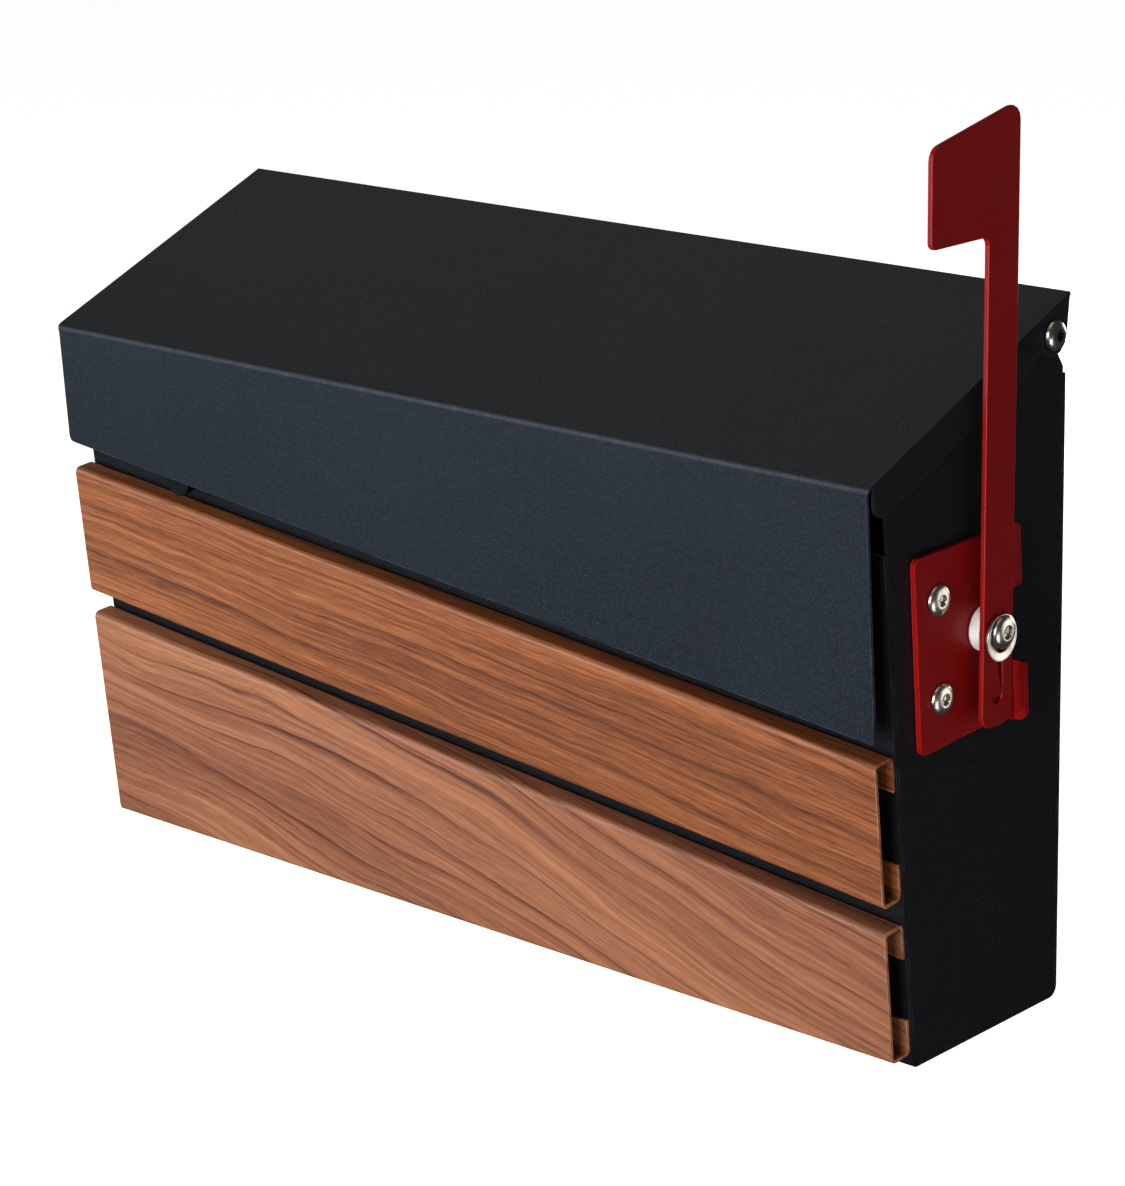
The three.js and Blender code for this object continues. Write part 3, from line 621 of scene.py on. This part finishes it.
def set_in_place(shape, middle, outward):
    """Turns a turned piece's Z axis to point outward, and moves its origin to the middle."""
    turn = Vector((0, 0, 1)).rotation_difference(Vector(outward)).to_matrix().to_4x4()
    bmesh.ops.transform(shape, matrix=Matrix.Translation(middle) @ turn, verts=shape.verts)
    return shape


for side in ("left", "right"):
    low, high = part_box(f"lid_bumper_{side}")
    middle = (low + high) / 2
    foot = (high.z - low.z) / 2
    length = high.y - low.y
    button = turned_piece([
        (foot, 0), (foot, 0.25 * length), (foot * 0.93, 0.5 * length), (foot * 0.8, 0.85 * length),
        (foot * 0.66, length), (foot * 0.3, length - 0.2 * MM),
    ], segments=32)
    set_in_place(button, (middle.x, low.y, middle.z), (0, 1, 0))
    nodes = [f"lid_bumper_{side}"]
    settle(button, f"rubber_bumper_{side}", 0.25 * MM, rubber, "lid", nodes)


# ---- Hinge screws, bracket screws and the flag's pivot bolt ------------------------------
# Stainless button heads with hexagon sockets. Their shanks go through the sheets into lock nuts
# inside the body.

SHANK_RADIUS = 2.5 * MM


def button_screw(node, name, side, head_height, socket):
    """A button-head screw in its node's place, with its head towards side, 1 for right."""
    low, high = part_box(node)
    middle = (low + high) / 2
    head = (high.z - low.z) / 2
    length = high.x - low.x
    shank = length - head_height
    crown = [(0.985, 0.16), (0.95, 0.38), (0.86, 0.6), (0.74, 0.78), (0.6, 0.9), (0.47, 0.95)]
    rings = [(SHANK_RADIUS * 0.8, 0), (SHANK_RADIUS, 0.5 * MM), (SHANK_RADIUS, shank), (head, shank)]
    rings += [(head * share, shank + head_height * rise) for share, rise in crown]
    mouth = socket * 0.62
    rings += [(mouth, length - 0.12 * MM), (mouth * 0.98, length - 0.2 * MM)]
    rings += [
        (hexagon(socket), length - 0.5 * MM), (hexagon(socket), shank + 0.25 * head_height),
        (socket * 0.2, shank + 0.12 * head_height),
    ]
    screw = turned_piece(rings)
    start = low.x if side > 0 else high.x
    set_in_place(screw, (start, middle.y, middle.z), (side, 0, 0))
    return settle(screw, name, 0.08 * MM, stainless, "root", [node])


HINGE_HEAD = 2.4 * MM
BRACKET_HEAD = 2.1 * MM
HINGE_SOCKET = 3.0 * MM
BRACKET_SOCKET = 3.2 * MM
BOLT_SOCKET = 4.0 * MM

for side, facing in (("right", 1), ("left", -1)):
    node = f"lid_hinge_screw_{side}"
    hinge = button_screw(node, f"hinge_screw_{side}", facing, HINGE_HEAD, HINGE_SOCKET)
    bright_metal.objects.unlink(hinge)
for row in ("upper", "lower"):
    node = f"bracket_screw_{row}"
    button_screw(node, f"flag_bracket_screw_{row}", 1, BRACKET_HEAD, BRACKET_SOCKET)
button_screw("flag_pivot_bolt", "flag_bolt", 1, BRACKET_HEAD, BOLT_SOCKET)


BORE_RADIUS = SHANK_RADIUS + 0.35 * MM


def lock_nut(node, name, side):
    """A hexagon nut with chamfered corners and a nylon-insert collar towards the inside."""
    low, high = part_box(node)
    middle = (low + high) / 2
    flats = min(high.y - low.y, high.z - low.z)
    height = high.x - low.x
    collar = flats / 2
    rings = [
        (BORE_RADIUS, 0), (collar * 0.96, 0), (hexagon(flats), 0.35 * MM),
        (hexagon(flats), height * 0.66), (collar * 0.97, height * 0.76), (collar * 0.9, height * 0.95),
        (collar * 0.84, height), (BORE_RADIUS, height),
    ]
    nut = turned_piece(rings, hollow=True)
    start = high.x if side > 0 else low.x
    set_in_place(nut, (start, middle.y, middle.z), (-side, 0, 0))
    return settle(nut, name, 0.1 * MM, stainless, "root", [node])


for side, facing in (("right", 1), ("left", -1)):
    lock_nut(f"lid_hinge_nut_{side}", f"hinge_nut_{side}", facing)
for row in ("upper", "lower"):
    lock_nut(f"bracket_nut_{row}", f"flag_bracket_nut_{row}", 1)
lock_nut("flag_lock_nut", "flag_bolt_nut", 1)


# ---- Flag bracket ------------------------------------------------------------------------
# A 2 mm plate in satin red powder coat, screwed to the right side, with a notch in its rear edge
# and a tab bent outwards that the raised flag stands beside.

# Its pale edge colour is mostly a painted highlight of the lit front edges.
red_coat = powder_coat(
    "red powder coat", deep=colour(97, 4, 4), light=colour(109, 5, 5), grain=colour(190, 26, 26),
    scuffed_and_highlit=colour(190, 30, 32), roughness=0.34, relief=0.00009, grain_strength=0.35, specular=0.16,
)
PLATE_EASING = 0.4 * MM
bracket = folded_sheet(
    "flag_bracket", "flag_bracket_plate", PLATE_EASING, red_coat
)
red_metal = bpy.data.collections.new("red metal")
red_metal.objects.link(bracket)
tab_light = soft_light(
    "card for the red metal", (0.33, -1.35, 0.12), (0.2, -0.06, 0.13), 0.3, 0.3, 18,
    (1.0, 0.99, 0.96), only=red_metal,
)
tab_light.light_linking.blocker_collection = red_metal


# ---- Nylon spacer and washer -------------------------------------------------------------
# A white bush between the bracket and the arm gives the flag its friction. A steel washer with a
# wide bore hangs loose between the arm and the bolt's head.

nylon, tree, shader = finish_of("white nylon")
marks = place_effect(tree, fine_marks, Scale=260.0)
edge_mask = place_effect(tree, edge_scuffs_and_highlight, Width=0.0004, Patch_Scale=300.0)
smudged = range_of(tree, marks.outputs["Smudges"], 0.4, 0.75)
milky = blend(tree, smudged, colour(232, 230, 226), colour(206, 202, 196))
on_edges = sums(tree, "MULTIPLY", edge_mask.outputs["Mask"], 0.5)
milky = blend(tree, on_edges, milky, colour(246, 245, 243))
tree.links.new(milky, shader.inputs["Base Color"])
gloss = range_of(tree, marks.outputs["Lines"], 0.3, 0.7, 0.38, 0.52)
tree.links.new(gloss, shader.inputs["Roughness"])
bump = put(tree, "Bump", {"Height": marks.outputs["Lines"], "Distance": 0.00003})
tree.links.new(bump.outputs[0], shader.inputs["Normal"])
shader.inputs["Subsurface Weight"].default_value = 0.15
shader.inputs["Subsurface Radius"].default_value = (0.002, 0.002, 0.002)


def bush(node, name, bore, rounding, material):
    """A ring along X in its node's place, with rounded rims."""
    low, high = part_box(node)
    middle = (low + high) / 2
    outer = (high.z - low.z) / 2
    width = high.x - low.x
    rings = [
        (bore, 0), (outer - rounding, 0), (outer - 0.3 * rounding, 0.3 * rounding), (outer, rounding),
        (outer, width - rounding), (outer - 0.3 * rounding, width - 0.3 * rounding),
        (outer - rounding, width), (bore, width),
    ]
    ring = turned_piece(rings, hollow=True)
    set_in_place(ring, (low.x, middle.y, middle.z), (1, 0, 0))
    settle(ring, name, 0, material, "root", [node])


WASHER_BORE = 5.2 * MM
bush("flag_spacer", "flag_spacer_bush", BORE_RADIUS, 0.6 * MM, nylon)
bush("flag_washer", "flag_washer_ring", WASHER_BORE, 0.3 * MM, stainless)


# ---- Flag --------------------------------------------------------------------------------
# Cut from 2 mm sheet: an arm with a square head that points forward, and a slot below the pivot. It
# has the bracket's red coat.

signal_flag = folded_sheet("flag", "signal_flag", PLATE_EASING, red_coat, "flag")
red_metal.objects.link(signal_flag)


# ---- Wall spacers ------------------------------------------------------------------------
# Rubber rings round the four wall screws, which hold the back wall off the wall so that the lid's
# rear edge has room to swing.

SPACER_BORE = 3.5 * MM
GROOVE = 0.6 * MM
for row in ("upper", "lower"):
    for side in ("left", "right"):
        node = f"wall_spacer_{row}_{side}"
        low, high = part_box(node)
        middle = (low + high) / 2
        outer = (high.z - low.z) / 2
        depth = high.y - low.y
        rings = [
            (SPACER_BORE, 0), (outer - GROOVE, 0), (outer, GROOVE), (outer, 0.4 * depth),
            (outer - GROOVE, 0.5 * depth), (outer, 0.6 * depth), (outer, depth - GROOVE),
            (outer - GROOVE, depth), (SPACER_BORE, depth),
        ]
        spacer = turned_piece(rings, hollow=True)
        set_in_place(spacer, (middle.x, low.y, middle.z), (0, 1, 0))
        name = f"rubber_wall_spacer_{row}_{side}"
        settle(spacer, name, 0.2 * MM, rubber, "root", [node])


# ---- Size --------------------------------------------------------------------------------
# The visual model's box, as its lowest and highest corners in metres.

low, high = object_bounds()
